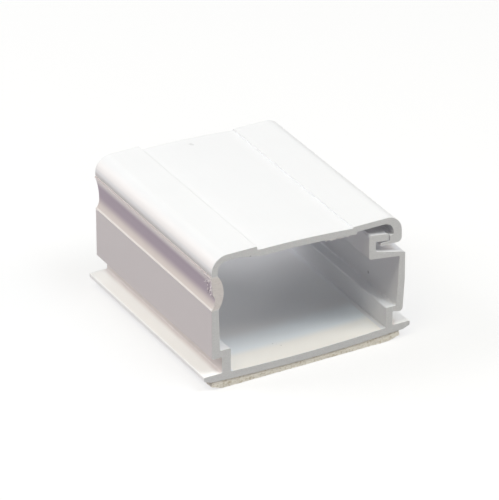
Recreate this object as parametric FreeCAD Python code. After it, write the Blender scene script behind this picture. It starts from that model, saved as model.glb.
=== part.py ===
import FreeCAD, Part
import math
import os

# A cut sample of a latching cord cover raceway, in millimetres.
# X runs across the section from the hinge side to the latch side, Y along the raceway, +Z up.
# The origin is at the middle of the adhesive tape's underside.

Vector = FreeCAD.Vector

# The sample
sample_length = 42.2

# Adhesive tape
tape_thickness = 1.05
tape_width = 37.2
tape_offset = -0.3

# Base plate, bowed so that its edges stand higher than its middle
flange_width = 40.6
flange_thickness = 0.8
flange_tip_rise = 0.5
underside_width = 38.0
plate_thickness = 1.35
plate_bow = 0.6

# Ribs and ledges that carry the two side walls
ribs_width = 33.6
hinge_rib_thickness = 1.65
latch_rib_thickness = 1.3
hinge_ledge_top = 7.38
hinge_ledge_thickness = 1.33
latch_ledge_top = 6.72
latch_ledge_thickness = 0.97
foot_drop = 0.35
foot_bevel = 0.45

# Side walls
channel_width = 37.6
hinge_wall_foot_thickness = 1.55
hinge_wall_top_thickness = 1.35
hinge_wall_top = 15.4
latch_wall_foot_thickness = 1.25
latch_wall_top_thickness = 1.1
latch_wall_lean = 0.35
latch_wall_straight = 4.98

# Flexible hinge strip between the hinge wall and the lid's skirt
hinge_height = 6.55
hinge_bulge = 0.95
groove_depth = 0.68
groove_foot_lip = 0.15
groove_head_lip = 0.35
groove_floor_rise = 1.95
groove_upper_depth = 0.51
groove_lower_depth = 0.53

# Lid
skirt_height = 3.65
skirt_thickness = 1.15
skirt_corner_radius = 3.0
land_thickness = 1.1
panel_thickness = 1.25
hinge_land_width = 8.7
latch_land_width = 9.6
panel_step = 0.72
latch_land_drop = 1.24
panel_tilt = 0.8
panel_crown = 0.22
ramp_width = 4.0
ramp_radius = 3.0
underside_inset = 0.6
step_run = 0.12

# Curl and hook along the lid's free edge
curl_inset = 0.77
curl_radius = 3.05
curl_thickness = 1.6
curl_edge_radius = 0.8
hook_thickness = 0.6
hook_tip_gap = 0.95
hook_root_rise = 1.1
hook_root_clearance = 0.25

# Catch on the latch wall
catch_headroom = 1.5
arm_root_thickness = 1.5
arm_tip_thickness = 1.25
arm_slope = 0.3
arm_end_clearance = 0.98
latch_clearance = 0.2
mouth_height = 2.0
post_thickness = 1.3
catch_reach = 5.9
bar_rise = 1.4
bar_thickness = 1.1
bar_drop_inside = 0.55

# Small roundings left by the extrusion die
edge_round = 0.2
inside_round = 0.3
catch_round = 0.4

# Heights and places that follow from the sizes above
skirt_bottom = hinge_wall_top + hinge_height
lid_top = skirt_bottom + skirt_height
wall_outer = channel_width / 2
rib_outer = ribs_width / 2
hinge_rib_inner = rib_outer - hinge_rib_thickness
latch_rib_inner = rib_outer - latch_rib_thickness
latch_wall_outer = wall_outer + latch_wall_lean
latch_land_top = lid_top - latch_land_drop
latch_land_underside = latch_land_top - land_thickness
arm_top = latch_land_underside - catch_headroom
arm_underside = arm_top - arm_root_thickness
mouth_floor = arm_underside - mouth_height
latch_wall_top = mouth_floor - bar_rise
post_outer = latch_wall_outer - catch_reach
post_inner = post_outer - post_thickness
curl_outer = latch_wall_outer - curl_inset
curl_inner = curl_outer - curl_thickness
arm_tip = curl_inner - arm_end_clearance
arm_tip_underside = arm_underside - arm_slope
hook_top = arm_tip_underside - latch_clearance
hook_bottom = hook_top - hook_thickness
hook_tip = post_outer + hook_tip_gap
hook_root = arm_tip + hook_root_clearance


class Via:
    """A point that the arc between its two neighbours in an outline passes through."""

    def __init__(self, x, z):
        self.x = x
        self.z = z


def rounded_ends(before, corner, after, radius):
    """Start, middle and end of the tangent arc that rounds a corner of an outline."""
    to_before = (before - corner).normalize()
    to_after = (after - corner).normalize()
    half_turn = to_before.getAngle(to_after) / 2
    setback = radius / math.tan(half_turn)
    towards_centre = (to_before + to_after).normalize()
    middle = corner + towards_centre * (radius / math.sin(half_turn) - radius)
    return corner + to_before * setback, middle, corner + to_after * setback


def outline_edges(points):
    """Edges of a closed outline in the XZ plane at the front cut.

    Each point is (x, z), (x, z, rounding radius) or a Via, which makes an arc of the stretch that it is in.
    """
    front = -sample_length / 2
    corners = [p for p in points if not isinstance(p, Via)]
    places = [Vector(p[0], front, p[1]) for p in corners]
    arrivals, departures, edges = [], [], []
    for n, corner in enumerate(corners):
        if len(corner) < 3:
            arrivals.append(places[n])
            departures.append(places[n])
            continue
        following = places[(n + 1) % len(places)]
        start, middle, end = rounded_ends(places[n - 1], places[n], following, corner[2])
        arrivals.append(start)
        departures.append(end)
        edges.append(Part.Arc(start, middle, end).toShape())
    number = -1
    for n, point in enumerate(points):
        if isinstance(point, Via):
            continue
        number += 1
        nearest = points[(n + 1) % len(points)]
        start = departures[number]
        end = arrivals[(number + 1) % len(corners)]
        if isinstance(nearest, Via):
            edges.append(Part.Arc(start, Vector(nearest.x, front, nearest.z), end).toShape())
        else:
            edges.append(Part.LineSegment(start, end).toShape())
    return edges


def extruded(points):
    """Solid with the given section, along the whole sample."""
    edges = Part.sortEdges(outline_edges(points))[0]
    section = Part.Face(Part.Wire(edges))
    return section.extrude(Vector(0, sample_length, 0))


def bow_radius():
    """Radius of the plate's bowed underside."""
    half = underside_width / 2
    return (half**2 + plate_bow**2) / (2 * plate_bow)


def underside_at(x):
    """Height of the plate's underside at a place across the section."""
    return tape_thickness + bow_radius() - math.sqrt(bow_radius() ** 2 - x**2)


def floor_at(x):
    """Height of the duct's floor, which is parallel to the plate's underside."""
    inner_radius = bow_radius() - plate_thickness
    return tape_thickness + bow_radius() - math.sqrt(inner_radius**2 - x**2)


def adhesive_tape():
    """Foam tape under the plate: flat below, pressed into the plate's bow above."""
    left = tape_offset - tape_width / 2
    right = tape_offset + tape_width / 2
    return extruded(
        [
            (left, 0),
            (right, 0),
            (right, underside_at(right)),
            Via(0, tape_thickness),
            (left, underside_at(left)),
        ]
    )


def flange_and_rib(side):
    """Outline points from the plate's underside edge out to the flange tip and back in to the rib's foot."""
    edge = underside_width / 2
    tip = flange_width / 2
    tip_underside = underside_at(edge) + flange_tip_rise
    return [
        (side * edge, underside_at(edge)),
        (side * tip, tip_underside, edge_round),
        (side * tip, tip_underside + flange_thickness, edge_round),
        (side * rib_outer, tip_underside + flange_thickness, inside_round),
    ]


def hinge_wall():
    """Outline points of the hinge-side rib, ledge and wall, from the duct's floor up and down outside."""
    ledge_underside = hinge_ledge_top - hinge_ledge_thickness
    return [
        (-hinge_rib_inner, hinge_ledge_top, inside_round),
        (-wall_outer + hinge_wall_foot_thickness, hinge_ledge_top, inside_round),
        (-wall_outer + hinge_wall_top_thickness, hinge_wall_top),
        (-wall_outer, hinge_wall_top),
        (-wall_outer, ledge_underside, inside_round),
        (-rib_outer, ledge_underside, edge_round),
    ]


def latch_wall():
    """Outline points of the latch-side rib, ledge, wall and catch, from the flange up and down inside."""
    ledge_underside = latch_ledge_top - latch_ledge_thickness
    foot = ledge_underside - foot_drop
    wall_top_inner = latch_wall_outer - latch_wall_top_thickness
    bar_underside = mouth_floor - bar_thickness
    return [
        (rib_outer, ledge_underside, edge_round),
        (wall_outer - foot_bevel, foot, edge_round),
        (wall_outer, ledge_underside, inside_round),
        (latch_wall_outer, latch_ledge_top + latch_wall_straight, inside_round),
        (latch_wall_outer, latch_wall_top, inside_round),
        (post_outer + inside_round, mouth_floor, edge_round),
        (post_outer, mouth_floor + inside_round, edge_round),
        (post_outer, arm_underside, inside_round),
        (arm_tip, arm_tip_underside, inside_round),
        (arm_tip, arm_tip_underside + arm_tip_thickness, inside_round),
        (post_inner, arm_top, catch_round),
        (post_inner, bar_underside, catch_round),
        (wall_top_inner, latch_wall_top - bar_drop_inside, inside_round),
        (wall_outer - latch_wall_foot_thickness, latch_ledge_top, inside_round),
        (latch_rib_inner, latch_ledge_top, inside_round),
        (latch_rib_inner, floor_at(latch_rib_inner)),
    ]


def base_channel():
    """Rigid base: flanged plate, ribs, ledges, both side walls and the catch, as one extrusion."""
    return extruded(
        [Via(0, tape_thickness)]
        + flange_and_rib(1)
        + latch_wall()
        + [Via(0, floor_at(0)), (-hinge_rib_inner, floor_at(hinge_rib_inner))]
        + hinge_wall()
        + flange_and_rib(-1)[::-1]
    )


def hinge_strip():
    """Flexible strip: bulged into the duct, with a smooth groove outside that is deepest near its foot."""
    foot_inner = -wall_outer + hinge_wall_top_thickness
    head_inner = -wall_outer + skirt_thickness
    groove_floor = -wall_outer + groove_depth
    groove_start = hinge_wall_top + groove_foot_lip
    groove_end = skirt_bottom - groove_head_lip
    deepest = hinge_wall_top + groove_floor_rise
    return extruded(
        [
            (foot_inner, hinge_wall_top),
            Via(foot_inner + hinge_bulge, hinge_wall_top + hinge_height / 2),
            (head_inner, skirt_bottom),
            (-wall_outer, skirt_bottom),
            (-wall_outer, groove_end),
            Via(-wall_outer + groove_upper_depth, (deepest + groove_end) / 2),
            (groove_floor, deepest),
            Via(-wall_outer + groove_lower_depth, (deepest + groove_start) / 2),
            (-wall_outer, groove_start),
            (-wall_outer, hinge_wall_top),
        ]
    )


def panel_arc(left, left_height, right, right_height):
    """Point at the middle of the lid's gently crowned panel."""
    return Via((left + right) / 2, (left_height + right_height) / 2 + panel_crown)


def lid():
    """Cover: skirt, hinge-side land, lowered panel, latch-side land, curl and hook, as one extrusion."""
    land_edge = -wall_outer + hinge_land_width
    latch_edge = curl_outer - latch_land_width
    panel_left = lid_top - panel_step
    panel_right = panel_left - panel_tilt
    panel_arc_top = panel_arc(land_edge, panel_left, latch_edge, panel_right)
    ramp_edge = land_edge + underside_inset
    latch_ramp_edge = latch_edge + underside_inset
    under_left = panel_left - panel_thickness
    under_right = panel_right - panel_thickness
    curl_inner_radius = curl_radius - land_thickness
    skirt_inner = -wall_outer + skirt_thickness
    skirt_inner_radius = skirt_corner_radius - land_thickness
    return extruded(
        [
            (-wall_outer, skirt_bottom, edge_round),
            (-wall_outer, lid_top, skirt_corner_radius),
            (land_edge, lid_top, edge_round),
            (land_edge + step_run, panel_left),
            panel_arc_top,
            (latch_edge - step_run, panel_right),
            (latch_edge, latch_land_top),
            (curl_outer, latch_land_top, curl_radius),
            (curl_outer, hook_bottom, curl_edge_radius),
            (hook_tip, hook_bottom, edge_round),
            (hook_tip, hook_top, edge_round),
            (hook_root, hook_top, edge_round),
            (hook_root, hook_top + hook_root_rise, edge_round),
            (curl_inner, hook_top + hook_root_rise, edge_round),
            (curl_inner, latch_land_underside, curl_inner_radius),
            (latch_ramp_edge + step_run, latch_land_underside),
            (latch_ramp_edge, under_right),
            panel_arc(latch_ramp_edge, under_right, ramp_edge, under_left),
            (ramp_edge, under_left),
            (ramp_edge - ramp_width, lid_top - land_thickness, ramp_radius),
            (skirt_inner, lid_top - land_thickness, skirt_inner_radius),
            (skirt_inner, skirt_bottom),
        ]
    )


NODES = {
    "base_channel": base_channel,
    "hinge_strip": hinge_strip,
    "lid": lid,
    "adhesive_tape": adhesive_tape,
}

os.makedirs("parts", exist_ok=True)
for name, build in NODES.items():
    shape = build()
    shape.exportStep("parts/" + name + ".step")
    print(name, "valid", shape.isValid(), "volume", round(shape.Volume, 2))
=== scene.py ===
"""Looks of a cut sample of latching cord cover raceway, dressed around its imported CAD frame.

The front cut faces -Y, the hinge side is -X, and the tape lies on the floor. All sizes are in metres.
"""

import logging
import math
from abc import ABC, abstractmethod
from dataclasses import dataclass
from enum import Enum

import bpy
from mathutils import Matrix, Vector


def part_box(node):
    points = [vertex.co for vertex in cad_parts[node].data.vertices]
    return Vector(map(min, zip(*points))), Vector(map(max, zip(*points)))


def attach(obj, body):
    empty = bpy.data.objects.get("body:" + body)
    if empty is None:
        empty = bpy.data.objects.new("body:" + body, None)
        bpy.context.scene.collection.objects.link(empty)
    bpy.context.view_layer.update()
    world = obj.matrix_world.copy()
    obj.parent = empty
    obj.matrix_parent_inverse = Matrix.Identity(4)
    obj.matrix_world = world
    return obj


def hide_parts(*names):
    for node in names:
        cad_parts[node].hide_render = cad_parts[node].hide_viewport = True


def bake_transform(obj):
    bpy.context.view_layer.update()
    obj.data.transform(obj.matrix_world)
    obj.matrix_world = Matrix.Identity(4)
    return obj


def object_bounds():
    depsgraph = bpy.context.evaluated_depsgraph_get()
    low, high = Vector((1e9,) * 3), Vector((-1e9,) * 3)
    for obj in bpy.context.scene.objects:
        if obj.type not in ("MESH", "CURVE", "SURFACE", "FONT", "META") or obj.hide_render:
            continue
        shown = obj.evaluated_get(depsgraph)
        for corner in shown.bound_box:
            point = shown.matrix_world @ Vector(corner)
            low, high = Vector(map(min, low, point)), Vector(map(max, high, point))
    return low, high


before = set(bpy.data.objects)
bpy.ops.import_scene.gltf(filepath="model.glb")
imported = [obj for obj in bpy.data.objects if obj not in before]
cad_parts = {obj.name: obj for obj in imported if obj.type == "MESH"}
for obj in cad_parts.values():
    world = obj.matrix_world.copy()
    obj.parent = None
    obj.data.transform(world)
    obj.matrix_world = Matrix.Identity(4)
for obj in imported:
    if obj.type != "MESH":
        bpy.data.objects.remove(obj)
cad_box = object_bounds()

log = logging.getLogger("cord_cover")

MM = 0.001
FRONT_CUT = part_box("base_channel")[0].y
BACK_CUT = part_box("base_channel")[1].y
WALL_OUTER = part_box("hinge_strip")[0].x
HINGE_WALL_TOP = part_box("hinge_strip")[0].z
SKIRT_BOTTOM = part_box("hinge_strip")[1].z

GROOVE_HEIGHT = "groove_height"
CUT_MARGIN = 0.08 * MM
CUT_BLUR = 0.04 * MM
CUT_FULL_SHARE = 0.25
FLUSH_MARGIN = 0.01 * MM

FLAKE_RADIUS = 0.5
FLAKE_SUBDIVISIONS = 2
FLAKE_RAGGED = 0.14
FLAKE_SMALLEST = (0.4, 0.3, 0.25)
FLAKE_LARGEST = (1.0, 0.6, 0.5)

# Mix and Random Value have a set of sockets for each data type, which only their numbers tell apart
MIX_FACTOR, MIX_FIRST, MIX_SECOND, MIX_RESULT = 0, 6, 7, 2
RANDOM_LOW, RANDOM_HIGH = 0, 1

Colour = tuple[float, float, float]
Place = tuple[float, float, float]

WHITE: Colour = (1.0, 1.0, 1.0)
UNIT_BLOCK = (1.0, 1.0, 1.0)


class Body(Enum):
    """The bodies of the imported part."""

    BASE = "base"
    COVER = "cover"


class Slot(Enum):
    """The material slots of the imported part's record."""

    RIGID = "rigid_pvc"
    FLEXIBLE = "flexible_pvc"
    FOAM = "foam_tape"


class Field:
    """A socket of a node tree that arithmetic turns into Math nodes."""

    def __init__(self, board: "NodeBoard", socket: bpy.types.NodeSocket) -> None:
        """Keeps the board that the socket's node stands on."""
        self.board = board
        self.socket = socket

    def __add__(self, other: "Field | float") -> "Field":
        """The sum of two values."""
        return self.board.math("ADD", self, other)

    def __sub__(self, other: "Field | float") -> "Field":
        """The difference of two values."""
        return self.board.math("SUBTRACT", self, other)

    def __rsub__(self, other: float) -> "Field":
        """The difference from a plain number."""
        return self.board.math("SUBTRACT", other, self)

    def __mul__(self, other: "Field | float") -> "Field":
        """The product of two values."""
        return self.board.math("MULTIPLY", self, other)


class NodeBoard:
    """A node tree with short calls for the nodes that this part's shapes and finishes use."""

    def __init__(self, tree: bpy.types.NodeTree) -> None:
        """Keeps the tree that the nodes are added to."""
        self.tree = tree

    def add(self, kind: str, inputs: dict | None = None, **settings: object) -> bpy.types.Node:
        """Adds a node.

        Args:
            kind: Blender's name of the node type.
            inputs: Values or fields for its input sockets, by name or number.
            **settings: The node's own properties.

        Returns:
            The new node.
        """
        node = self.tree.nodes.new(kind)
        for name, value in settings.items():
            setattr(node, name, value)
        for key, value in (inputs or {}).items():
            self.feed(node.inputs[key], value)
        return node

    def feed(self, socket: bpy.types.NodeSocket, value: object) -> None:
        """Links a field to a socket, or sets the socket to a plain value.

        Args:
            socket: The input socket.
            value: The field or the plain value.
        """
        if isinstance(value, Field):
            self.tree.links.new(value.socket, socket)
        else:
            socket.default_value = value

    def result(self, kind: str, inputs: dict | None = None, output: str | int = 0,
               **settings: object) -> Field:
        """Adds a node and gives one of its outputs.

        Args:
            kind: Blender's name of the node type.
            inputs: Values or fields for its input sockets, by name or number.
            output: The name or number of the output wanted.
            **settings: The node's own properties.

        Returns:
            That output as a field.
        """
        return Field(self, self.add(kind, inputs, **settings).outputs[output])

    def math(self, operation: str, *values: "Field | float") -> Field:
        """The result of a Math node."""
        return self.result("ShaderNodeMath", dict(enumerate(values)), operation=operation)

    def vector(self, x: "Field | float", y: "Field | float", z: "Field | float") -> Field:
        """A vector made of three values."""
        return self.result("ShaderNodeCombineXYZ", {"X": x, "Y": y, "Z": z})

    def axes(self, vector: Field) -> tuple[Field, Field, Field]:
        """The three values of a vector."""
        node = self.add("ShaderNodeSeparateXYZ", {"Vector": vector})
        return tuple(Field(self, output) for output in node.outputs)

    def ease(self, value: Field, start: float, end: float, low: float = 0.0, high: float = 1.0) -> Field:
        """Moves smoothly from one level to another as a value goes from start to end.

        Args:
            value: The value that is looked at.
            start: Where the result leaves its first level.
            end: Where it reaches its second level.
            low: The first level.
            high: The second level.

        Returns:
            The level as a field.
        """
        inputs = {"Value": value, "From Min": start, "From Max": end, "To Min": low, "To Max": high}
        return self.result("ShaderNodeMapRange", inputs, interpolation_type="SMOOTHSTEP")

    def noise(self, place: Field, grain: float, detail: float = 2.0, roughness: float = 0.5) -> Field:
        """Smooth noise, about 0.5, whose grain has the given size in metres.

        Args:
            place: The coordinates that it reads.
            grain: The size of its grain.
            detail: How many finer layers it has.
            roughness: How strong the finer layers are.

        Returns:
            The noise as a field.
        """
        inputs = {"Vector": place, "Scale": 1 / grain, "Detail": detail, "Roughness": roughness}
        return self.result("ShaderNodeTexNoise", inputs)

    def tint(self, amount: "Field | float", first: "Field | Colour", second: "Field | Colour") -> Field:
        """Mixes two colours.

        Args:
            amount: 0 gives the first colour and 1 the second.
            first: The first colour.
            second: The second colour.

        Returns:
            The mixed colour as a field.
        """
        wide = [c if isinstance(c, Field) else (*c, 1.0) for c in (first, second)]
        inputs = {MIX_FACTOR: amount, MIX_FIRST: wide[0], MIX_SECOND: wide[1]}
        return self.result("ShaderNodeMix", inputs, output=MIX_RESULT, data_type="RGBA")


class ShadeBoard(NodeBoard):
    """The node tree of one new material, with its shader."""

    def __init__(self, name: str) -> None:
        """Makes an empty material with one Principled shader."""
        self.material = bpy.data.materials.new(name)
        self.material.use_nodes = True
        super().__init__(self.material.node_tree)
        self.tree.nodes.clear()
        self.shader = self.add("ShaderNodeBsdfPrincipled")
        self.finish(self.shader.outputs[0])
        self.place = self.result("ShaderNodeTexCoord", output="Object")

    def finish(self, shader: bpy.types.NodeSocket) -> None:
        """Sends a shader to the material's output.

        Args:
            shader: The shader's output socket.
        """
        output = next((n for n in self.tree.nodes if n.type == "OUTPUT_MATERIAL"), None)
        output = output or self.add("ShaderNodeOutputMaterial")
        self.tree.links.new(shader, output.inputs["Surface"])

    def surface(self, colour: Field, roughness: Field, height: Field, depth: float) -> bpy.types.Material:
        """Feeds the shader.

        Args:
            colour: The base colour.
            roughness: The roughness.
            height: The relief, about 0 to 1.
            depth: How deep the relief is, in metres.

        Returns:
            The material.
        """
        relief = {"Strength": 1.0, "Distance": depth, "Height": height}
        bump = self.result("ShaderNodeBump", relief, output="Normal")
        self.feed(self.shader.inputs["Base Color"], colour)
        self.feed(self.shader.inputs["Roughness"], roughness)
        self.feed(self.shader.inputs["Normal"], bump)
        return self.material


class ShapeBoard(NodeBoard):
    """A Geometry Nodes tree with named inputs, which makes one plain mesh object."""

    def __init__(self, name: str, sizes: dict[str, float | int]) -> None:
        """Makes the tree and its inputs.

        Args:
            name: The name of the piece.
            sizes: The value of each named input. Whole numbers make integer inputs.
        """
        super().__init__(bpy.data.node_groups.new(name, "GeometryNodeTree"))
        self.name = name
        self.sizes = sizes
        self.tree.interface.new_socket("Geometry", in_out="OUTPUT", socket_type="NodeSocketGeometry")
        self.tree.interface.new_socket("Geometry", in_out="INPUT", socket_type="NodeSocketGeometry")
        self.sockets = {}
        for label, size in sizes.items():
            kind = "NodeSocketInt" if isinstance(size, int) else "NodeSocketFloat"
            self.sockets[label] = self.tree.interface.new_socket(label, in_out="INPUT", socket_type=kind)
        self.start = self.add("NodeGroupInput")
        self.position = self.result("GeometryNodeInputPosition")

    def size(self, label: str) -> Field:
        """One of the tree's named inputs."""
        return Field(self, self.start.outputs[label])

    def shift(self, geometry: Field, **inputs: "Field | float") -> Field:
        """Moves the points of a geometry by a Set Position node."""
        named = {name.capitalize(): value for name, value in inputs.items()}
        return self.result("GeometryNodeSetPosition", {"Geometry": geometry, **named})

    def random(self, low: Place, high: Place, seed: Field, salt: int) -> Field:
        """A random vector for each point.

        Args:
            low: The lowest corner of where it may lie.
            high: The highest corner.
            seed: The tree's seed.
            salt: Keeps the draws of one tree apart.

        Returns:
            The vector as a field.
        """
        inputs = {RANDOM_LOW: low, RANDOM_HIGH: high, "Seed": seed + float(salt)}
        return self.result("FunctionNodeRandomValue", inputs, data_type="FLOAT_VECTOR")

    def flakes(self, points: Field, size: Field, seed: Field) -> Field:
        """Puts a small torn flake on each point.

        Args:
            points: The points.
            size: The length of the largest flake.
            seed: The tree's seed.

        Returns:
            The flakes, trimmed to the front cut.
        """
        ball = {"Radius": FLAKE_RADIUS, "Subdivisions": FLAKE_SUBDIVISIONS}
        flake = self.result("GeometryNodeMeshIcoSphere", ball)
        ragged = self.random((-FLAKE_RAGGED,) * 3, (FLAKE_RAGGED,) * 3, seed, salt=1)
        flake = self.shift(flake, offset=ragged)
        shape = self.random(FLAKE_SMALLEST, FLAKE_LARGEST, seed, salt=2)
        scale = self.result("ShaderNodeVectorMath", {0: shape, "Scale": size}, operation="SCALE")
        turn = self.random((0.0, 0.0, 0.0), (math.pi, math.pi, math.pi), seed, salt=3)
        inputs = {"Points": points, "Instance": flake, "Rotation": turn, "Scale": scale}
        strewn = self.result("GeometryNodeInstanceOnPoints", inputs)
        return self.flush(self.result("GeometryNodeRealizeInstances", {"Geometry": strewn}))

    def flush(self, geometry: Field) -> Field:
        """Presses what would stand out of the front cut back to the cut's plane.

        Args:
            geometry: What may stand out.

        Returns:
            The trimmed geometry.
        """
        x, y, z = self.axes(self.position)
        trimmed = self.math("MAXIMUM", y, FRONT_CUT + FLUSH_MARGIN)
        return self.shift(geometry, position=self.vector(x, trimmed, z))

    def piece(self, geometry: Field, material: bpy.types.Material, start: bpy.types.Mesh | None = None,
              crease_deg: float = 40.0) -> bpy.types.Object:
        """Ends the tree, runs it once and keeps the result as a plain mesh object.

        Args:
            geometry: What the tree makes.
            material: The finish of the whole piece.
            start: The mesh that the tree starts from, if it needs one.
            crease_deg: Edges sharper than this stay sharp.

        Returns:
            The finished object, with no modifier.
        """
        realized = self.result("GeometryNodeRealizeInstances", {"Geometry": geometry})
        made = self.result("GeometryNodeSetMaterial", {"Geometry": realized, "Material": material})
        self.add("NodeGroupOutput", {"Geometry": made})
        piece = bpy.data.objects.new(self.name, start or bpy.data.meshes.new(self.name))
        bpy.context.scene.collection.objects.link(piece)
        modifier = piece.modifiers.new("shape", "NODES")
        modifier.node_group = self.tree
        for label, value in self.sizes.items():
            modifier[self.sockets[label].identifier] = value
        evaluated = piece.evaluated_get(bpy.context.evaluated_depsgraph_get())
        mesh = bpy.data.meshes.new_from_object(evaluated)
        piece.modifiers.clear()
        piece.data = mesh
        mesh.shade_smooth()
        mesh.set_sharp_from_angle(angle=math.radians(crease_deg))
        return piece


def off_cut(board: NodeBoard, y: Field) -> Field:
    """1 on what the die drew, and 0 on both saw cuts."""
    drawn_end = BACK_CUT - CUT_MARGIN
    return board.ease(board.math("ABSOLUTE", y), drawn_end - CUT_BLUR, drawn_end, 1.0, 0.0)


def on_cut(board: NodeBoard, y: Field, edge: float) -> Field:
    """1 on both saw cuts, and 0 from an edge's width in."""
    return board.ease(board.math("ABSOLUTE", y), BACK_CUT - edge, BACK_CUT - edge * CUT_FULL_SHARE)


class Layer(ABC):
    """Something that lies over the plain colour of the rigid plastic."""

    @abstractmethod
    def over(self, board: ShadeBoard, colour: Field) -> Field:
        """Lays itself over a colour.

        Args:
            board: The board of the material.
            colour: The colour under it.

        Returns:
            The colour with the layer on it.
        """


@dataclass(frozen=True)
class Mark(Layer):
    """A small spot of dirt or a nick on a surface."""

    place: Place
    radius: float
    strength: float
    colour: Colour = (0.16, 0.15, 0.15)
    ragged_share: float = 1.6
    solid_share: float = 0.45

    def over(self, board: ShadeBoard, colour: Field) -> Field:
        """Lays the spot over a colour.

        Args:
            board: The board of the material.
            colour: The colour under the spot.

        Returns:
            The colour with the spot in it.
        """
        away = board.result("ShaderNodeVectorMath", {0: board.place, 1: self.place}, output="Value",
                            operation="DISTANCE")
        ragged = away + (board.noise(board.place, self.radius) - 0.5) * (self.radius * self.ragged_share)
        amount = board.ease(ragged, self.radius * self.solid_share, self.radius, self.strength, 0.0)
        return board.tint(amount, colour, self.colour)


@dataclass(frozen=True)
class PaintedWallShade(Layer):
    """Painted mauve shade on the outside of the hinge wall, which fades out at the wall's foot."""

    # The painted shade's colour, darker and mauver than the plastic
    colour: Colour = (0.65, 0.607, 0.613)
    thickness: float = 0.05 * MM
    fade_start: float = 5.9 * MM
    fade_end: float = 6.4 * MM

    def over(self, board: ShadeBoard, colour: Field) -> Field:
        """Lays the painted shade over a colour.

        Args:
            board: The board of the material.
            colour: The colour under the painted shade.

        Returns:
            The colour with the painted shade on it.
        """
        x, _, z = board.axes(board.place)
        outside = board.ease(x, WALL_OUTER + self.thickness / 2, WALL_OUTER + self.thickness, 1.0, 0.0)
        # Painted shade on the wall's outer face, fading out towards its foot
        return board.tint(outside * board.ease(z, self.fade_start, self.fade_end), colour, self.colour)


@dataclass(frozen=True)
class PaintedFloorLight(Layer):
    """Painted light on the duct's floor: a cream pool of light next to the front cut, then bluish light, and
    plain further in.
    """

    # Colours of the painted light: cream near the cut, bluish further in, then plain
    cream_light_colour: Colour = (0.935, 0.91, 0.87)
    blue_light_colour: Colour = (0.875, 0.915, 0.945)
    deep_colour: Colour = (0.83, 0.83, 0.835)
    cream_end: float = FRONT_CUT + 3.9 * MM
    blue_start: float = FRONT_CUT + 6.3 * MM
    blue_end: float = FRONT_CUT + 8.6 * MM
    deep_start: float = FRONT_CUT + 12.5 * MM
    half_width: float = 14.62 * MM
    lowest: float = 1.9 * MM
    highest: float = 3.3 * MM

    def over(self, board: ShadeBoard, colour: Field) -> Field:
        """Lays the painted light over a colour.

        Args:
            board: The board of the material.
            colour: The colour under the painted light.

        Returns:
            The colour with the painted light on the floor.
        """
        x, y, z = board.axes(board.place)
        inside = board.math("LESS_THAN", board.math("ABSOLUTE", x), self.half_width)
        level = board.math("GREATER_THAN", z, self.lowest) * board.math("LESS_THAN", z, self.highest)
        painted_light = board.tint(board.ease(y, self.cream_end, self.blue_start), self.cream_light_colour,
                          self.blue_light_colour)
        painted_light = board.tint(board.ease(y, self.blue_end, self.deep_start), painted_light, self.deep_colour)
        return board.tint(inside * level * off_cut(board, y), colour, painted_light)


@dataclass(frozen=True)
class PaintedFlangeShading(Layer):
    """Painted shade and light below the walls' feet: beige painted shade in both recesses, and paler painted
    light towards the flanges' edges.
    """

    recess_shade_colour: Colour = (0.73, 0.67, 0.645)
    flange_light_colour: Colour = (0.98, 0.98, 0.975)
    inner: float = 15.8 * MM
    recess_end: float = 16.6 * MM
    flange_start: float = 18.2 * MM
    highest: float = 6.1 * MM
    blur: float = 0.1 * MM

    def over(self, board: ShadeBoard, colour: Field) -> Field:
        """Lays the painted shade and light over a colour.

        Args:
            board: The board of the material.
            colour: The colour under the painted shade and light.

        Returns:
            The colour with the painted shade and light on it.
        """
        x, y, z = board.axes(board.place)
        side = board.math("ABSOLUTE", x)
        amount = board.ease(side, self.inner - self.blur, self.inner) * off_cut(board, y)
        amount = amount * board.ease(z, self.highest, self.highest + self.blur, 1.0, 0.0)
        outward = board.ease(side, self.recess_end, self.flange_start)
        # Painted shade in the recesses, turning to painted light towards the flanges' edges
        return board.tint(amount, colour, board.tint(outward, self.recess_shade_colour, self.flange_light_colour))


@dataclass(frozen=True)
class PaintedSkirtShading(Layer):
    """Painted shade and highlight on the outside of the lid's skirt: painted shade along its lower rim and a
    painted highlight on the rounding above it.
    """

    rim_shade_colour: Colour = (0.61, 0.60, 0.605)
    pale_highlight_colour: Colour = (0.965, 0.945, 0.95)
    rim_full: float = SKIRT_BOTTOM + 0.4 * MM
    rim_end: float = SKIRT_BOTTOM + 1.15 * MM
    pale_full: float = SKIRT_BOTTOM + 1.75 * MM
    pale_fade: float = SKIRT_BOTTOM + 2.3 * MM
    pale_end: float = SKIRT_BOTTOM + 3.4 * MM
    rim_inner: float = WALL_OUTER + 0.5 * MM
    pale_inner: float = WALL_OUTER + 1.9 * MM
    blur: float = 1.0 * MM

    def over(self, board: ShadeBoard, colour: Field) -> Field:
        """Lays the painted shade and highlight over a colour.

        Args:
            board: The board of the material.
            colour: The colour under the painted shade and highlight.

        Returns:
            The colour with the painted shade and highlight on it.
        """
        x, y, z = board.axes(board.place)
        drawn = off_cut(board, y)
        outside = board.ease(x, self.pale_inner, self.pale_inner + self.blur, 1.0, 0.0)
        above_rim = board.ease(z, self.rim_end, self.pale_full)
        # pale: the painted highlight on the rounding; rim: the painted shade along the lower rim
        pale = above_rim * board.ease(z, self.pale_fade, self.pale_end, 1.0, 0.0) * outside * drawn
        rim = board.ease(z, self.rim_full, self.rim_end, 1.0, 0.0)
        rim = rim * board.math("LESS_THAN", x, self.rim_inner)
        return board.tint(rim * drawn, board.tint(pale, colour, self.pale_highlight_colour), self.rim_shade_colour)


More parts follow.
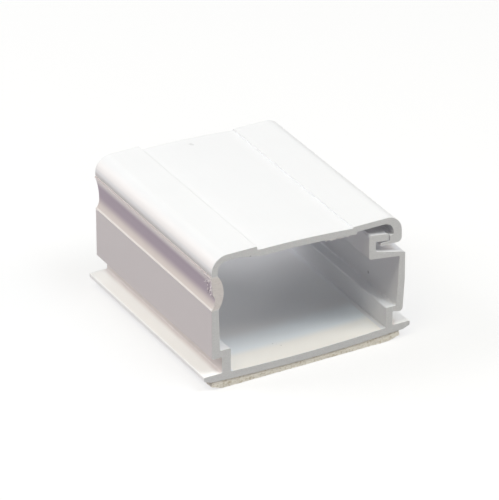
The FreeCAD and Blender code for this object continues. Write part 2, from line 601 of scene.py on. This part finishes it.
@dataclass(frozen=True)
class RigidPlastic:
    """Rigid plastic: satin with faint lines where the die drew it, and matt where the saw cut it."""

    name: str
    layers: tuple[Layer, ...] = ()
    colour: Colour = (0.856, 0.86, 0.88)
    shade_colour: Colour = (0.816, 0.82, 0.84)
    cut_colour: Colour = (0.85, 0.865, 0.855)
    cut_shade_colour: Colour = (0.76, 0.775, 0.765)
    roughness: float = 0.34
    cut_roughness: float = 0.72
    roughness_swing: float = 0.12
    line_grain: float = 0.55 * MM
    line_squeeze: float = 0.006
    line_share: float = 0.35
    line_depth: float = 0.004 * MM
    cloud_grain: float = 7 * MM
    cut_grain: float = 0.28 * MM
    cut_slant: float = 0.35
    cut_stretch: float = 3.5
    cut_low: float = 0.3
    cut_high: float = 0.7
    cut_depth: float = 0.03 * MM
    cut_edge: float = 0.04 * MM

    def material(self) -> bpy.types.Material:
        """Builds the finish from Object coordinates.

        Returns:
            The material.
        """
        board = ShadeBoard(self.name)
        x, y, z = board.axes(board.place)
        cut = on_cut(board, y, self.cut_edge)
        drawn_out = board.vector(x, y * self.line_squeeze, z)
        lines = board.noise(drawn_out, self.line_grain, detail=3.0, roughness=0.6)
        clouds = board.noise(board.place, self.cloud_grain, detail=3.0)
        slanted = board.vector(x + z * self.cut_slant, y, (z - x * self.cut_slant) * self.cut_stretch)
        saw = board.noise(slanted, self.cut_grain, detail=3.0, roughness=0.65)
        mottle = lines * self.line_share + clouds * (1.0 - self.line_share)
        drawn = board.tint(mottle, self.shade_colour, self.colour)
        scored = board.ease(saw, self.cut_low, self.cut_high)
        sawn = board.tint(scored, self.cut_shade_colour, self.cut_colour)
        colour = board.tint(cut, drawn, sawn)
        for layer in self.layers:
            colour = layer.over(board, colour)
        roughness = cut * (self.cut_roughness - self.roughness) + self.roughness
        roughness = roughness + (clouds - 0.5) * self.roughness_swing
        relief = cut * saw + (1.0 - cut) * lines * (self.line_depth / self.cut_depth)
        return board.surface(colour, roughness, relief, self.cut_depth)


@dataclass(frozen=True)
class FlexiblePlastic:
    """Soft hinge plastic: smooth and cream, with painted mauve shade high in its groove, a painted highlight
    on the bead at each seam and a painted shadow at the lid's seam.
    """

    name: str = "flexible_plastic"
    colour: Colour = (0.72, 0.66, 0.63)
    shade_colour: Colour = (0.68, 0.62, 0.60)
    head_shade_colour: Colour = (0.415, 0.343, 0.41)
    head_start: float = 0.09
    head_end: float = 0.42
    bead_highlight_colour: Colour = (0.885, 0.83, 0.81)
    bead_start: float = 0.66
    bead_end: float = 0.92
    seam_shade_colour: Colour = (0.565, 0.505, 0.50)
    seam_shade_start: float = 0.975
    seam_shade_end: float = 0.992
    foot_bead_highlight_colour: Colour = (0.80, 0.765, 0.745)
    foot_bead_start: float = 0.045
    foot_bead_end: float = 0.07
    cut_colour: Colour = (0.93, 0.89, 0.845)
    cut_shade_colour: Colour = (0.86, 0.82, 0.78)
    seam_colour: Colour = (0.95, 0.94, 0.92)
    seam_share: float = 0.75
    seam: float = 0.5 * MM
    roughness: float = 0.42
    cut_roughness: float = 0.62
    roughness_swing: float = 0.1
    line_grain: float = 0.4 * MM
    line_squeeze: float = 0.01
    line_relief: float = 0.4
    cut_grain: float = 0.5 * MM
    cut_stretch: float = 1.8
    cut_low: float = 0.3
    cut_high: float = 0.7
    relief_depth: float = 0.015 * MM
    cut_edge: float = 0.05 * MM

    def material(self) -> bpy.types.Material:
        """Builds the finish from Object coordinates and the groove's height.

        Returns:
            The material.
        """
        board = ShadeBoard(self.name)
        x, y, z = board.axes(board.place)
        cut = on_cut(board, y, self.cut_edge)
        lines = board.noise(board.vector(x, y * self.line_squeeze, z), self.line_grain, detail=3.0)
        stretched = board.vector(x, y, z * self.cut_stretch)
        smear = board.noise(stretched, self.cut_grain, detail=4.0, roughness=0.6)
        drawn = board.tint(lines, self.shade_colour, self.colour)
        level = board.result("ShaderNodeAttribute", output="Fac", attribute_name=GROOVE_HEIGHT)
        # Painted mauve shade high in the groove, a painted highlight on the head's bead and a painted shadow
        # at the lid's seam
        drawn = board.tint(board.ease(level, self.head_start, self.head_end), drawn, self.head_shade_colour)
        drawn = board.tint(board.ease(level, self.bead_start, self.bead_end), drawn, self.bead_highlight_colour)
        shaded = board.ease(level, self.seam_shade_start, self.seam_shade_end)
        drawn = board.tint(shaded, drawn, self.seam_shade_colour)
        # Painted highlight on the bead at the foot
        low = board.ease(level, self.foot_bead_start, self.foot_bead_end, 1.0, 0.0)
        drawn = board.tint(low, drawn, self.foot_bead_highlight_colour)
        smeared = board.ease(smear, self.cut_low, self.cut_high)
        sawn = board.tint(smeared, self.cut_shade_colour, self.cut_colour)
        head = board.ease(z, SKIRT_BOTTOM - self.seam, SKIRT_BOTTOM, 0.0, self.seam_share)
        foot = board.ease(z, HINGE_WALL_TOP, HINGE_WALL_TOP + self.seam, self.seam_share, 0.0)
        sawn = board.tint(head + foot, sawn, self.seam_colour)
        colour = board.tint(cut, drawn, sawn)
        roughness = cut * (self.cut_roughness - self.roughness) + self.roughness
        roughness = roughness + (smear - 0.5) * self.roughness_swing
        relief = cut * smear + (1.0 - cut) * lines * self.line_relief
        return board.surface(colour, roughness, relief, self.relief_depth)


@dataclass(frozen=True)
class FoamTape:
    """Cream closed-cell foam: fine cells, tan hollows and pale torn walls between them."""

    name: str = "foam_tape_cut"
    colour: Colour = (0.96, 0.925, 0.815)
    hollow_colour: Colour = (0.68, 0.615, 0.465)
    torn_colour: Colour = (1.0, 0.97, 0.86)
    cell: float = 0.42 * MM
    crumb: float = 0.336 * MM
    clump: float = 1.1 * MM
    hollow_cells: float = 0.5
    hollow_start: float = 0.66
    hollow_end: float = 0.96
    torn_crumbs: float = 0.4
    torn_start: float = 0.65
    torn_end: float = 0.78
    roughness: float = 0.85
    roughness_swing: float = 0.1
    crumb_relief: float = 0.5
    cell_relief: float = 0.7
    clump_relief: float = 0.6
    relief_depth: float = 0.08 * MM

    def material(self) -> bpy.types.Material:
        """Builds the finish from Object coordinates.

        Returns:
            The material.
        """
        board = ShadeBoard(self.name)
        sponge = {"Vector": board.place, "Scale": 1 / self.cell}
        cells = board.result("ShaderNodeTexVoronoi", sponge, output="Distance")
        crumbs = board.noise(board.place, self.crumb, detail=3.0, roughness=0.7)
        clumps = board.noise(board.place, self.clump, detail=3.0, roughness=0.6)
        hollow = board.ease(cells * self.hollow_cells + clumps, self.hollow_start, self.hollow_end)
        torn = board.ease(clumps + crumbs * self.torn_crumbs, self.torn_start, self.torn_end)
        colour = board.tint(torn, board.tint(hollow, self.colour, self.hollow_colour), self.torn_colour)
        roughness = crumbs * self.roughness_swing + self.roughness
        relief = crumbs * self.crumb_relief + cells * self.cell_relief + clumps * self.clump_relief
        return board.surface(colour, roughness, relief, self.relief_depth)


@dataclass(frozen=True)
class StudioPaper:
    """Pale paper floor: seen as white with a soft shadow, and plain pale paper for the object's light."""

    name: str = "studio_paper"
    colour: Colour = (0.40, 0.375, 0.405)
    fleck_colour: Colour = (0.38, 0.355, 0.385)
    fleck: float = 4 * MM
    shadow_share: float = 0.3

    def material(self) -> bpy.types.Material:
        """Builds the finish, which tells the eye from the object's light by Light Path.

        Returns:
            The material.
        """
        board = ShadeBoard(self.name)
        paper = board.tint(board.noise(board.place, self.fleck), self.colour, self.fleck_colour)
        plain = board.result("ShaderNodeBsdfDiffuse", {"Color": paper})
        white = (*WHITE, 1.0)
        shaded = board.result("ShaderNodeBsdfDiffuse", {"Color": white})
        lit = board.result("ShaderNodeEmission", {"Color": white, "Strength": 1.0})
        seen = board.result("ShaderNodeMixShader", {0: self.shadow_share, 1: lit, 2: shaded})
        mixed = board.result("ShaderNodeMixShader", {0: seen_by_eye(board), 1: plain, 2: seen})
        board.finish(mixed.socket)
        return board.material


def seen_by_eye(board: NodeBoard) -> Field:
    """Tells what is seen from what only lights the object.

    Args:
        board: The board of the floor or the world.

    Returns:
        1 for rays of the camera, a reflection or a see-through surface, and 0 for the object's light.
    """
    path = board.add("ShaderNodeLightPath")
    names = ("Is Camera Ray", "Is Glossy Ray", "Is Transmission Ray")
    camera, glossy, through = (Field(board, path.outputs[name]) for name in names)
    return board.math("MAXIMUM", board.math("MAXIMUM", camera, glossy), through)


@dataclass(frozen=True)
class Circle:
    """A circle in the section's plane, from which a bulged or hollow side takes its shape."""

    x: float
    z: float
    radius: float

    @classmethod
    def through(cls, first: tuple[float, float], second: tuple[float, float],
                third: tuple[float, float]) -> "Circle":
        """The circle through three points (x, z).

        Args:
            first: One point.
            second: Another point.
            third: The last point.

        Returns:
            The circle.
        """
        (ax, az), (bx, bz), (cx, cz) = first, second, third
        turn = 2 * (ax * (bz - cz) + bx * (cz - az) + cx * (az - bz))
        a2, b2, c2 = ax * ax + az * az, bx * bx + bz * bz, cx * cx + cz * cz
        x = (a2 * (bz - cz) + b2 * (cz - az) + c2 * (az - bz)) / turn
        z = (a2 * (cx - bx) + b2 * (ax - cx) + c2 * (bx - ax)) / turn
        return cls(x, z, math.hypot(ax - x, az - z))

    def right_side(self, board: NodeBoard, z: Field) -> Field:
        """The x of the circle's right side at a height."""
        rise = z - self.z
        return board.math("SQRT", board.math("MAXIMUM", self.radius**2 - rise * rise, 0.0)) + self.x


@dataclass
class HingeStrip:
    """The soft strip between the hinge wall and the lid, which bends when the lid swings."""

    finish: FlexiblePlastic
    fray_finish: RigidPlastic
    height: float = SKIRT_BOTTOM - HINGE_WALL_TOP
    foot_inner: float = WALL_OUTER + 1.35 * MM
    head_inner: float = WALL_OUTER + 1.15 * MM
    bulge: float = 0.95 * MM
    groove_floor: float = WALL_OUTER + 0.68 * MM
    deepest: float = HINGE_WALL_TOP + 1.95 * MM
    upper_x: float = WALL_OUTER + 0.51 * MM
    lower_x: float = WALL_OUTER + 0.53 * MM
    groove_start: float = HINGE_WALL_TOP + 0.15 * MM
    groove_end: float = SKIRT_BOTTOM - 0.35 * MM
    head_bead_proud: float = 0.13 * MM
    head_bead_half: float = 0.19 * MM
    foot_bead_proud: float = 0.08 * MM
    foot_bead_half: float = 0.12 * MM
    smear_reach: float = 1.5 * MM
    smear_rise: float = 1.5 * MM
    smear_fill: float = 0.7
    smear_grain: float = 0.5 * MM
    smear_squeeze: float = 0.6
    smear_ragged: float = 1.0 * MM
    fray_reach: float = 4.8 * MM
    fray_lowest: float = HINGE_WALL_TOP + 2.3 * MM
    fray_size: float = 0.58 * MM
    frays_per_area: float = 4.4e6
    outside_margin: float = 0.05 * MM
    bend_inset: float = 1.2 * MM
    columns: int = 8
    rows: int = 130
    slices: int = 90
    slice_growth: float = 1.7
    seed: int = 7

    def bead(self, z: Field, middle: float, half: float, proud: float) -> Field:
        """How far a small rounded bead round a height stands proud of the strip's outside."""
        across = (z - middle) * (1 / half)
        return z.board.math("SQRT", z.board.math("MAXIMUM", 1.0 - across * across, 0.0)) * proud

    def outer_side(self, board: ShapeBoard, y: Field, z: Field) -> Field:
        """The x of the strip's grooved outside at a place along the strip.

        Args:
            board: The board of the strip.
            y: How far along the strip. The saw smeared the groove's upper part full next to the front cut.
            z: The height.

        Returns:
            The x as a field.
        """
        upper = Circle.through(
            (WALL_OUTER, self.groove_end), (self.upper_x, (self.deepest + self.groove_end) / 2),
            (self.groove_floor, self.deepest),
        )
        lower = Circle.through(
            (self.groove_floor, self.deepest), (self.lower_x, (self.deepest + self.groove_start) / 2),
            (WALL_OUTER, self.groove_start),
        )
        above = board.math("GREATER_THAN", z, self.deepest)
        side = above * upper.right_side(board, z) + (1.0 - above) * lower.right_side(board, z)
        side = board.math("MAXIMUM", side, WALL_OUTER)
        torn = board.noise(board.vector(0.0, y * self.smear_squeeze, z), self.smear_grain)
        ragged = y + (torn - 0.5) * self.smear_ragged
        smear = board.ease(ragged, FRONT_CUT, FRONT_CUT + self.smear_reach, self.smear_fill, 0.0)
        smear = smear * board.ease(z, self.deepest, self.deepest + self.smear_rise)
        side = side - (side - WALL_OUTER) * smear
        head = self.bead(z, SKIRT_BOTTOM - self.head_bead_half, self.head_bead_half, self.head_bead_proud)
        foot = self.bead(z, HINGE_WALL_TOP + self.foot_bead_half, self.foot_bead_half, self.foot_bead_proud)
        return side - head - foot

    def strip(self, board: ShapeBoard) -> Field:
        """Shapes a grid block into the bulged and grooved strip.

        Args:
            board: A board whose inputs hold the strip's sizes.

        Returns:
            The strip's geometry.
        """
        counts = {"Vertices X": board.size("Columns"), "Vertices Y": board.size("Slices"),
                  "Vertices Z": board.size("Rows")}
        block = board.result("GeometryNodeMeshCube", {"Size": UNIT_BLOCK, **counts})
        u, v, w = board.axes(board.position)
        block = board.result(
            "GeometryNodeStoreNamedAttribute",
            {"Geometry": block, "Name": GROOVE_HEIGHT, "Value": (w + 0.5) * (0.5 - u)},
            data_type="FLOAT", domain="POINT",
        )
        z = (w + 0.5) * board.size("Strip height") + HINGE_WALL_TOP
        y = board.math("POWER", v + 0.5, self.slice_growth) * board.size("Sample length") + FRONT_CUT
        inner = Circle.through(
            (self.foot_inner, HINGE_WALL_TOP),
            (self.foot_inner + self.bulge, HINGE_WALL_TOP + self.height / 2),
            (self.head_inner, SKIRT_BOTTOM),
        )
        outside = self.outer_side(board, y, z)
        x = outside + (inner.right_side(board, z) - outside) * (u + 0.5)
        return board.shift(block, position=board.vector(x, y, z))

    def frays(self, board: ShapeBoard) -> Field:
        """Strews torn flakes over the groove next to the front cut.

        Args:
            board: A board whose inputs hold the strip's sizes and the frays' size and seed.

        Returns:
            The flakes.
        """
        strip = self.strip(board)
        x, y, z = board.axes(board.position)
        density = board.ease(y, FRONT_CUT, FRONT_CUT + self.fray_reach, self.frays_per_area, 0.0)
        outward = board.math("LESS_THAN", x, self.groove_floor + self.outside_margin)
        in_groove = outward * board.math("GREATER_THAN", z, self.fray_lowest)
        points = board.result(
            "GeometryNodeDistributePointsOnFaces",
            {"Mesh": strip, "Selection": in_groove, "Density": density, "Seed": board.size("Seed")},
        )
        return board.flakes(points, board.size("Fray size"), board.size("Seed"))

    def build(self) -> list[bpy.types.Object]:
        """Makes the strip and its frays and hides the plain strip.

        Returns:
            The strip and its frays.
        """
        sizes = {"Strip height": self.height, "Sample length": BACK_CUT - FRONT_CUT,
                 "Columns": self.columns, "Rows": self.rows, "Slices": self.slices}
        board = ShapeBoard("flexible_hinge_strip", sizes)
        strip = board.piece(self.strip(board), self.finish.material())
        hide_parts("hinge_strip")
        torn = ShapeBoard("hinge_cut_frays", {**sizes, "Fray size": self.fray_size, "Seed": self.seed})
        frays = torn.piece(self.frays(torn), self.fray_finish.material())
        for made in (strip, frays):
            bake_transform(made)
        return [strip, frays]


@dataclass
class AdhesiveTape:
    """The foam tape under the plate, with ragged cut edges and corners that lift from the floor."""

    finish: FoamTape
    left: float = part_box("adhesive_tape")[0].x
    right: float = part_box("adhesive_tape")[1].x
    thickness: float = 1.05 * MM
    plate_half: float = 19.0 * MM
    plate_bow: float = 0.6 * MM
    ragged_depth: float = 0.18 * MM
    ragged_base: float = -0.3
    coarse_grain: float = 1.3 * MM
    coarse_share: float = 0.6
    fine_grain: float = 0.35 * MM
    fine_share: float = 0.4
    level_share: float = 0.6
    level_spread: float = 1.2 * MM
    edge_margin: float = 0.01 * MM
    corner_lift: float = 0.62 * MM
    corner_reach: float = 2.4 * MM
    edge_lift: float = 0.14 * MM
    edge_reach: float = 0.9 * MM
    edge_fine: float = 2.0
    edge_base: float = -1.5
    columns: int = 170
    slices: int = 110
    layers: int = 9
    seed: int = 3
    seed_step: float = 0.1

    def top(self, x: Field) -> Field:
        """The height of the tape's top, which is pressed into the plate's bow.

        Args:
            x: How far across the tape.

        Returns:
            The height as a field.
        """
        radius = (self.plate_half**2 + self.plate_bow**2) / (2 * self.plate_bow)
        fall = x.board.math("SQRT", radius**2 - x * x)
        return (self.thickness + radius) - fall

    def build(self) -> bpy.types.Object:
        """Makes the tape and hides the plain one.

        Returns:
            The tape.
        """
        sizes = {"Tape width": self.right - self.left, "Tape length": BACK_CUT - FRONT_CUT,
                 "Columns": self.columns, "Slices": self.slices, "Layers": self.layers,
                 "Ragged depth": self.ragged_depth, "Seed": self.seed}
        board = ShapeBoard("foam_adhesive_tape", sizes)
        counts = {"Vertices X": board.size("Columns"), "Vertices Y": board.size("Slices"),
                  "Vertices Z": board.size("Layers")}
        block = board.result("GeometryNodeMeshCube", {"Size": UNIT_BLOCK, **counts})
        u, v, w = board.axes(board.position)
        x = u * board.size("Tape width") + (self.left + self.right) / 2
        y = v * board.size("Tape length")
        level = w + 0.5
        from_end = (0.5 - board.math("ABSOLUTE", v)) * board.size("Tape length")
        from_side = (0.5 - board.math("ABSOLUTE", u)) * board.size("Tape width")
        seeded = board.vector(x, y + board.size("Seed") * self.seed_step, level * self.level_spread)
        coarse = board.noise(seeded, self.coarse_grain)
        fine = board.noise(seeded, self.fine_grain, detail=3.0, roughness=0.7)
        ragged = coarse * self.coarse_share + fine * self.fine_share + level * self.level_share
        ragged = (ragged + self.ragged_base) * board.size("Ragged depth")
        ragged = board.math("MAXIMUM", ragged, 0.0)
        at_end = board.math("LESS_THAN", from_end, self.edge_margin) * board.math("SIGN", v)
        at_side = board.math("LESS_THAN", from_side, self.edge_margin) * board.math("SIGN", u)
        nearest = board.math("MINIMUM", from_end, from_side)
        lift = board.ease(from_side, 0.0, self.corner_reach, self.corner_lift, 0.0)
        curled = board.ease(nearest, 0.0, self.edge_reach, self.edge_lift, 0.0)
        lift = lift + curled * (coarse + fine * self.edge_fine + self.edge_base)
        lift = board.math("MAXIMUM", lift, 0.0)
        top = self.top(x)
        z = lift + (top - lift) * level
        place = board.vector(x - at_side * ragged, y - at_end * ragged, z)
        tape = board.piece(board.shift(block, position=place), self.finish.material(), crease_deg=60.0)
        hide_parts("adhesive_tape")
        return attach(tape, Body.BASE.value)


@dataclass
class CutBurrs:
    """Small torn burrs that the saw left along an edge of the front cut."""

    name: str
    body: Body
    path: tuple[tuple[float, float], ...]
    finish: RigidPlastic
    seed: int
    spacing: float = 0.22 * MM
    burr: float = 0.62 * MM
    scatter: float = 0.12 * MM
    inset: float = 0.06 * MM

    def build(self) -> bpy.types.Object:
        """Makes the burrs and lets them ride on their body.

        Returns:
            The burrs.
        """
        line = bpy.data.meshes.new(self.name)
        places = [(x, FRONT_CUT + self.inset, z) for x, z in self.path]
        line.from_pydata(places, [(n, n + 1) for n in range(len(places) - 1)], [])
        sizes = {"Spacing": self.spacing, "Burr size": self.burr, "Scatter": self.scatter, "Seed": self.seed}
        board = ShapeBoard(self.name, sizes)
        edge = board.result("GeometryNodeMeshToCurve", {"Mesh": board.size("Geometry")})
        steps = board.result("GeometryNodeResampleCurve", {"Curve": edge, "Length": board.size("Spacing")},
                             mode="LENGTH")
        inward = board.random((-1.0, 0.0, -1.0), (1.0, 1.0, 1.0), board.size("Seed"), salt=5)
        strewn = board.result("ShaderNodeVectorMath", {0: inward, "Scale": board.size("Scatter")},
                              operation="SCALE")
        bent = board.shift(steps, offset=strewn)
        points = board.result("GeometryNodeCurveToPoints", {"Curve": bent}, mode="EVALUATED")
        flakes = board.flakes(points, board.size("Burr size"), board.size("Seed"))
        burrs = board.piece(flakes, self.finish.material(), line)
        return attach(burrs, self.body.value)


@dataclass
class BaseChannel:
    """The rigid channel: its CAD solid gets its finish, and its cut gets its burrs."""

    finish: RigidPlastic
    burr_finish: RigidPlastic
    foot_line: tuple[tuple[float, float], ...] = (
        (-17.85 * MM, 6.33 * MM), (-17.4 * MM, 6.2 * MM), (-16.9 * MM, 6.42 * MM),
    )

    def build(self) -> list[bpy.types.Object]:
        """Dresses the channel.

        Returns:
            The pieces that show.
        """
        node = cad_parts["base_channel"]
        node.material_slots[0].material = self.finish.material()
        burrs = CutBurrs("base_cut_burrs", Body.BASE, self.foot_line, self.burr_finish, seed=11,
                         spacing=0.16 * MM, burr=0.16 * MM, scatter=0.02 * MM, inset=0.05 * MM)
        return [node, burrs.build()]


@dataclass
class Lid:
    """The rigid lid: its CAD solid gets its finish, and the underside of its cut gets burrs."""

    finish: RigidPlastic
    burr_finish: RigidPlastic
    panel_line: tuple[tuple[float, float], ...] = (
        (3.4 * MM, 23.2 * MM), (5.6 * MM, 23.05 * MM), (7.9 * MM, 22.86 * MM),
    )

    def build(self) -> list[bpy.types.Object]:
        """Dresses the lid.

        Returns:
            The pieces that show.
        """
        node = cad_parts["lid"]
        node.material_slots[0].material = self.finish.material()
        burrs = CutBurrs("lid_cut_burrs", Body.COVER, self.panel_line, self.burr_finish, seed=5)
        return [node, burrs.build()]


@dataclass(frozen=True)
class Softbox:
    """A square studio lamp that looks at the object."""

    name: str
    azimuth_deg: float
    elevation_deg: float
    level: float
    colour: Colour
    side: float = 0.26
    distance: float = 0.6

    def build(self, aim: Vector) -> bpy.types.Object:
        """Places the lamp.

        Args:
            aim: The point that it looks at.

        Returns:
            The lamp object.
        """
        azimuth, elevation = math.radians(self.azimuth_deg), math.radians(self.elevation_deg)
        flat = math.cos(elevation)
        back = Vector((math.sin(azimuth) * flat, -math.cos(azimuth) * flat, math.sin(elevation)))
        data = bpy.data.lights.new(self.name, "AREA")
        data.shape = "SQUARE"
        data.size = self.side
        data.energy = self.level * (math.pi * self.distance) ** 2
        data.color = self.colour
        lamp = bpy.data.objects.new(self.name, data)
        bpy.context.scene.collection.objects.link(lamp)
        lamp.location = aim + back * self.distance
        lamp.rotation_euler = (-back).to_track_quat("-Z", "Y").to_euler()
        return lamp


@dataclass
class Studio:
    """The plain pale floor, the soft lamps and the white surroundings."""

    paper: StudioPaper
    lamps: tuple[Softbox, ...]
    floor_side: float = 6.0
    floor_drop: float = 0.05 * MM
    ambient: float = 0.005

    def build(self) -> None:
        """Makes the floor, the lamps and the world."""
        half = self.floor_side / 2
        mesh = bpy.data.meshes.new("studio_floor")
        corners = [(-half, -half), (half, -half), (half, half), (-half, half)]
        mesh.from_pydata([(x, y, -self.floor_drop) for x, y in corners], [], [(0, 1, 2, 3)])
        mesh.materials.append(self.paper.material())
        floor = bpy.data.objects.new("studio_floor", mesh)
        bpy.context.scene.collection.objects.link(floor)
        low, high = cad_box
        for lamp in self.lamps:
            lamp.build((low + high) / 2)
        world = bpy.data.worlds.new("studio_surroundings")
        bpy.context.scene.world = world
        world.use_nodes = True
        world.node_tree.nodes.clear()
        board = NodeBoard(world.node_tree)
        soft = board.result("ShaderNodeBackground", {"Color": (*WHITE, 1.0), "Strength": self.ambient})
        white = board.result("ShaderNodeBackground", {"Color": (*WHITE, 1.0), "Strength": 1.0})
        both = board.result("ShaderNodeMixShader", {0: seen_by_eye(board), 1: soft, 2: white})
        board.add("ShaderNodeOutputWorld", {"Surface": both})


@dataclass
class PhotoCamera:
    """The photograph's camera: a long lens that looks down at the front cut and the hinge side."""

    focal_px: float = 4442.5
    long_side_px: int = 500
    sensor_mm: float = 36.0
    yaw_deg: float = 29.234
    pitch_deg: float = 28.585
    front_cut_offset: Place = (10.051 * MM, 19.552 * MM, 762.9 * MM)
    nearest: float = 0.01
    farthest: float = 20.0

    def build(self) -> bpy.types.Object:
        """Places the camera so that the front cut's foot lies to its right, below and ahead by the offset.

        Returns:
            The camera object.
        """
        yaw, pitch = math.radians(self.yaw_deg), math.radians(self.pitch_deg)
        right = Vector((math.cos(yaw), -math.sin(yaw), 0.0))
        flat = math.cos(pitch)
        forward = Vector((math.sin(yaw) * flat, math.cos(yaw) * flat, -math.sin(pitch)))
        down = forward.cross(right)
        data = bpy.data.cameras.new("photo_camera")
        data.sensor_width = self.sensor_mm
        data.lens = self.focal_px * self.sensor_mm / self.long_side_px
        data.clip_start = self.nearest
        data.clip_end = self.farthest
        camera = bpy.data.objects.new("photo_camera", data)
        bpy.context.scene.collection.objects.link(camera)
        across, below, ahead = self.front_cut_offset
        place = Vector((0.0, FRONT_CUT, 0.0)) - right * across - down * below - forward * ahead
        turned = Matrix((right, -down, -forward)).transposed()
        camera.matrix_world = Matrix.Translation(place) @ turned.to_4x4()
        bpy.context.scene.camera = camera
        return camera


FLOOR_SPECKS = (
    Mark((-3.97 * MM, -15.72 * MM, 2.42 * MM), 0.18 * MM, strength=0.3),
    Mark((-3.45 * MM, -16.2 * MM, 2.42 * MM), 0.13 * MM, strength=0.28),
    Mark((-2.95 * MM, -16.9 * MM, 2.42 * MM), 0.2 * MM, strength=0.3),
)
WALL_SPECK = Mark((17.65 * MM, -11.34 * MM, 8.5 * MM), 0.38 * MM, strength=0.5)
LID_SMUDGE = Mark((-0.9 * MM, 18.8 * MM, 24.7 * MM), 0.55 * MM, strength=0.5, colour=(0.55, 0.55, 0.57))
CUT_SPECK = Mark((-11.33 * MM, -21.1 * MM, 24.05 * MM), 0.22 * MM, strength=0.6, colour=(0.35, 0.35, 0.37))

TORN_RIGID = RigidPlastic(
    "torn_plastic",
    colour=(0.97, 0.96, 0.95),
    shade_colour=(0.92, 0.91, 0.9),
    cut_colour=(0.96, 0.95, 0.94),
    cut_shade_colour=(0.88, 0.87, 0.86),
    roughness=0.6,
)
TORN_FLEXIBLE = RigidPlastic(
    "torn_hinge_plastic",
    colour=(0.84, 0.80, 0.82),
    shade_colour=(0.74, 0.70, 0.73),
    cut_colour=(0.84, 0.80, 0.81),
    cut_shade_colour=(0.76, 0.72, 0.73),
    roughness=0.6,
)

LAMPS = (
    Softbox("left_softbox", azimuth_deg=-120, elevation_deg=40, level=0.50, colour=(0.993, 0.981, 1.0)),
    Softbox("front_right_softbox", azimuth_deg=30, elevation_deg=62, level=0.40, colour=(0.84, 0.94, 1.0)),
    Softbox("front_left_softbox", azimuth_deg=-60, elevation_deg=62, level=0.345, colour=(1.0, 0.944, 0.79)),
    Softbox("right_softbox", azimuth_deg=60, elevation_deg=40, level=0.268, colour=(1.0, 0.865, 0.73)),
    Softbox("back_softbox", azimuth_deg=180, elevation_deg=15, level=0.15, colour=(0.78, 0.94, 1.0)),
    Softbox("back_right_softbox", azimuth_deg=150, elevation_deg=15, level=0.02, colour=(0.8, 0.87, 1.0)),
    Softbox("front_low_softbox", azimuth_deg=-20, elevation_deg=20, level=0.08, colour=(1.0, 0.98, 0.955)),
)


def white_view() -> None:
    """Shows colours as they are written."""
    bpy.context.scene.view_settings.view_transform = "Standard"


def main() -> None:
    """Builds the camera, the studio and each sub-assembly in order."""
    logging.basicConfig(level=logging.INFO, format="%(message)s")
    white_view()
    PhotoCamera().build()
    Studio(StudioPaper(), LAMPS).build()
    # Painted mauve shade on the hinge wall, painted shade and light on the flanges, painted light on the
    # duct floor, and dust specks; the lid gets painted shade and highlight on its skirt, a smudge and a
    # speck
    base_layers = (PaintedWallShade(), PaintedFlangeShading(), PaintedFloorLight(), *FLOOR_SPECKS, WALL_SPECK)
    lid_layers = (PaintedSkirtShading(), LID_SMUDGE, CUT_SPECK)
    made = BaseChannel(RigidPlastic("rigid_plastic_base", base_layers), TORN_RIGID).build()
    made += Lid(RigidPlastic("rigid_plastic_lid", lid_layers), TORN_RIGID).build()
    made += HingeStrip(FlexiblePlastic(), TORN_FLEXIBLE).build()
    made.append(AdhesiveTape(FoamTape()).build())
    for piece in made:
        log.info("%s: %d faces", piece.name, len(piece.data.polygons))


if __name__ == "__main__":
    main()
